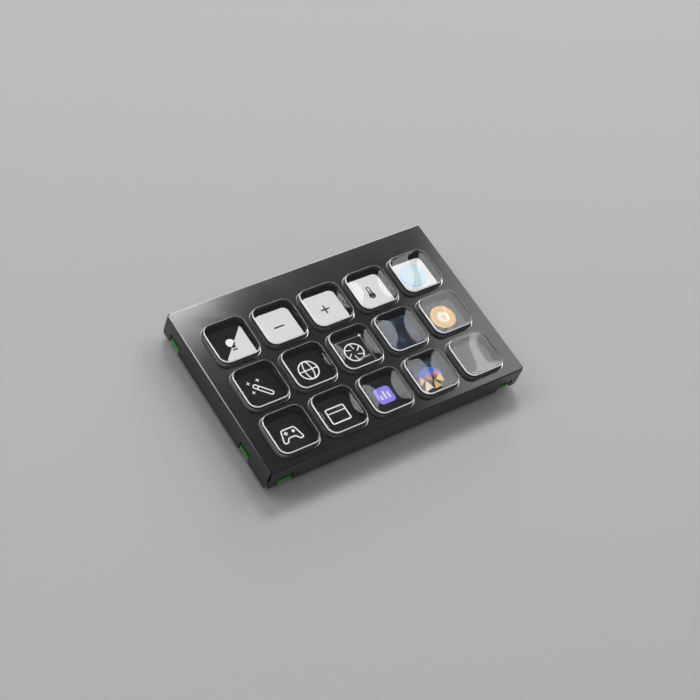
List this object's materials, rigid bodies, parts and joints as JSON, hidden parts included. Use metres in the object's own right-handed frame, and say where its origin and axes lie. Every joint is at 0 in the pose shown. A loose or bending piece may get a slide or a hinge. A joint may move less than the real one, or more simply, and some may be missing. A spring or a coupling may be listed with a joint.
{
  "type": "display keypad module",
  "caption": "Flat macro keypad module: a grid of clear sprung keys over one display, in a folded metal front plate, with its circuit board open at the back on threaded standoffs.",
  "frame": {"origin": "centre of the front plate's outline, on the plane of the standoffs' feet", "axes": "+X along a row of keys to the right, +Y towards the rear edge, +Z out of the keys"},
  "size_m": [0.1108, 0.072, 0.0155],
  "materials": {
    "plate_black": "satin black powder coat",
    "film_grey": "matte adhesive film",
    "guide_black": "matte black moulding",
    "rubber_grey": "matte silicone",
    "contact_green": "solder mask",
    "display_black": "polished black glass",
    "tray_steel": "stamped steel",
    "guide_white": "polished white",
    "led_yellow": "gel",
    "carrier_black": "fine spark texture",
    "board_green": "satin solder mask",
    "brass": "turned brass",
    "ribbon_amber": "polyimide",
    "socket_ivory": "moulded",
    "usb_steel": "drawn stainless",
    "tongue_black": "moulded",
    "chip_black": "moulded epoxy",
    "lead_tin": "tinned",
    "crystal_can": "plated can",
    "coil_grey": "ferrite",
    "capacitor_tan": "ceramic",
    "resistor_black": "glazed",
    "key_clear": "polished clear",
    "collar_black": "matte black moulding"
  },
  "bodies": {
    "housing": {"front_plate": "plate_black", "adhesive_film": "film_grey", "key_guide": "guide_black", "dome_sheet": "rubber_grey", "contact_board": "contact_green", "display_glass": "display_black", "backlight_tray": "tray_steel", "light_guide": "guide_white", "backlight_leds": "led_yellow", "carrier_frame": "carrier_black", "main_board": "board_green", "standoffs": "brass", "display_ribbon": "ribbon_amber", "display_socket": "socket_ivory", "keypad_ribbon": "ribbon_amber", "keypad_socket": "socket_ivory", "usb_shell": "usb_steel", "usb_tongue": "tongue_black", "processor": "chip_black", "processor_leads": "lead_tin", "flash_chip": "chip_black", "flash_leads": "lead_tin", "crystal": "crystal_can", "regulator": "chip_black", "power_coil": "coil_grey", "capacitors": "capacitor_tan", "resistors": "resistor_black"},
    "key_r1c1": {"keycap_r1c1": "key_clear", "collar_r1c1": "collar_black"},
    "key_r1c2": {"keycap_r1c2": "key_clear", "collar_r1c2": "collar_black"},
    "key_r1c3": {"keycap_r1c3": "key_clear", "collar_r1c3": "collar_black"},
    "key_r1c4": {"keycap_r1c4": "key_clear", "collar_r1c4": "collar_black"},
    "key_r1c5": {"keycap_r1c5": "key_clear", "collar_r1c5": "collar_black"},
    "key_r2c1": {"keycap_r2c1": "key_clear", "collar_r2c1": "collar_black"},
    "key_r2c2": {"keycap_r2c2": "key_clear", "collar_r2c2": "collar_black"},
    "key_r2c3": {"keycap_r2c3": "key_clear", "collar_r2c3": "collar_black"},
    "key_r2c4": {"keycap_r2c4": "key_clear", "collar_r2c4": "collar_black"},
    "key_r2c5": {"keycap_r2c5": "key_clear", "collar_r2c5": "collar_black"},
    "key_r3c1": {"keycap_r3c1": "key_clear", "collar_r3c1": "collar_black"},
    "key_r3c2": {"keycap_r3c2": "key_clear", "collar_r3c2": "collar_black"},
    "key_r3c3": {"keycap_r3c3": "key_clear", "collar_r3c3": "collar_black"},
    "key_r3c4": {"keycap_r3c4": "key_clear", "collar_r3c4": "collar_black"},
    "key_r3c5": {"keycap_r3c5": "key_clear", "collar_r3c5": "collar_black"}
  },
  "joints": [
    {"name": "key_r1c1_press", "type": "slide", "parent": "housing", "child": "key_r1c1", "axis": [0, 0, -1], "range_m": [0, 0.0009], "stiffness_N_per_m": 500, "springref_m": -0.0003, "deforming": ["dome_sheet"]},
    {"name": "key_r1c2_press", "type": "slide", "parent": "housing", "child": "key_r1c2", "axis": [0, 0, -1], "range_m": [0, 0.0009], "stiffness_N_per_m": 500, "springref_m": -0.0003, "deforming": ["dome_sheet"]},
    {"name": "key_r1c3_press", "type": "slide", "parent": "housing", "child": "key_r1c3", "axis": [0, 0, -1], "range_m": [0, 0.0009], "stiffness_N_per_m": 500, "springref_m": -0.0003, "deforming": ["dome_sheet"]},
    {"name": "key_r1c4_press", "type": "slide", "parent": "housing", "child": "key_r1c4", "axis": [0, 0, -1], "range_m": [0, 0.0009], "stiffness_N_per_m": 500, "springref_m": -0.0003, "deforming": ["dome_sheet"]},
    {"name": "key_r1c5_press", "type": "slide", "parent": "housing", "child": "key_r1c5", "axis": [0, 0, -1], "range_m": [0, 0.0009], "stiffness_N_per_m": 500, "springref_m": -0.0003, "deforming": ["dome_sheet"]},
    {"name": "key_r2c1_press", "type": "slide", "parent": "housing", "child": "key_r2c1", "axis": [0, 0, -1], "range_m": [0, 0.0009], "stiffness_N_per_m": 500, "springref_m": -0.0003, "deforming": ["dome_sheet"]},
    {"name": "key_r2c2_press", "type": "slide", "parent": "housing", "child": "key_r2c2", "axis": [0, 0, -1], "range_m": [0, 0.0009], "stiffness_N_per_m": 500, "springref_m": -0.0003, "deforming": ["dome_sheet"]},
    {"name": "key_r2c3_press", "type": "slide", "parent": "housing", "child": "key_r2c3", "axis": [0, 0, -1], "range_m": [0, 0.0009], "stiffness_N_per_m": 500, "springref_m": -0.0003, "deforming": ["dome_sheet"]},
    {"name": "key_r2c4_press", "type": "slide", "parent": "housing", "child": "key_r2c4", "axis": [0, 0, -1], "range_m": [0, 0.0009], "stiffness_N_per_m": 500, "springref_m": -0.0003, "deforming": ["dome_sheet"]},
    {"name": "key_r2c5_press", "type": "slide", "parent": "housing", "child": "key_r2c5", "axis": [0, 0, -1], "range_m": [0, 0.0009], "stiffness_N_per_m": 500, "springref_m": -0.0003, "deforming": ["dome_sheet"]},
    {"name": "key_r3c1_press", "type": "slide", "parent": "housing", "child": "key_r3c1", "axis": [0, 0, -1], "range_m": [0, 0.0009], "stiffness_N_per_m": 500, "springref_m": -0.0003, "deforming": ["dome_sheet"]},
    {"name": "key_r3c2_press", "type": "slide", "parent": "housing", "child": "key_r3c2", "axis": [0, 0, -1], "range_m": [0, 0.0009], "stiffness_N_per_m": 500, "springref_m": -0.0003, "deforming": ["dome_sheet"]},
    {"name": "key_r3c3_press", "type": "slide", "parent": "housing", "child": "key_r3c3", "axis": [0, 0, -1], "range_m": [0, 0.0009], "stiffness_N_per_m": 500, "springref_m": -0.0003, "deforming": ["dome_sheet"]},
    {"name": "key_r3c4_press", "type": "slide", "parent": "housing", "child": "key_r3c4", "axis": [0, 0, -1], "range_m": [0, 0.0009], "stiffness_N_per_m": 500, "springref_m": -0.0003, "deforming": ["dome_sheet"]},
    {"name": "key_r3c5_press", "type": "slide", "parent": "housing", "child": "key_r3c5", "axis": [0, 0, -1], "range_m": [0, 0.0009], "stiffness_N_per_m": 500, "springref_m": -0.0003, "deforming": ["dome_sheet"]}
  ]
}
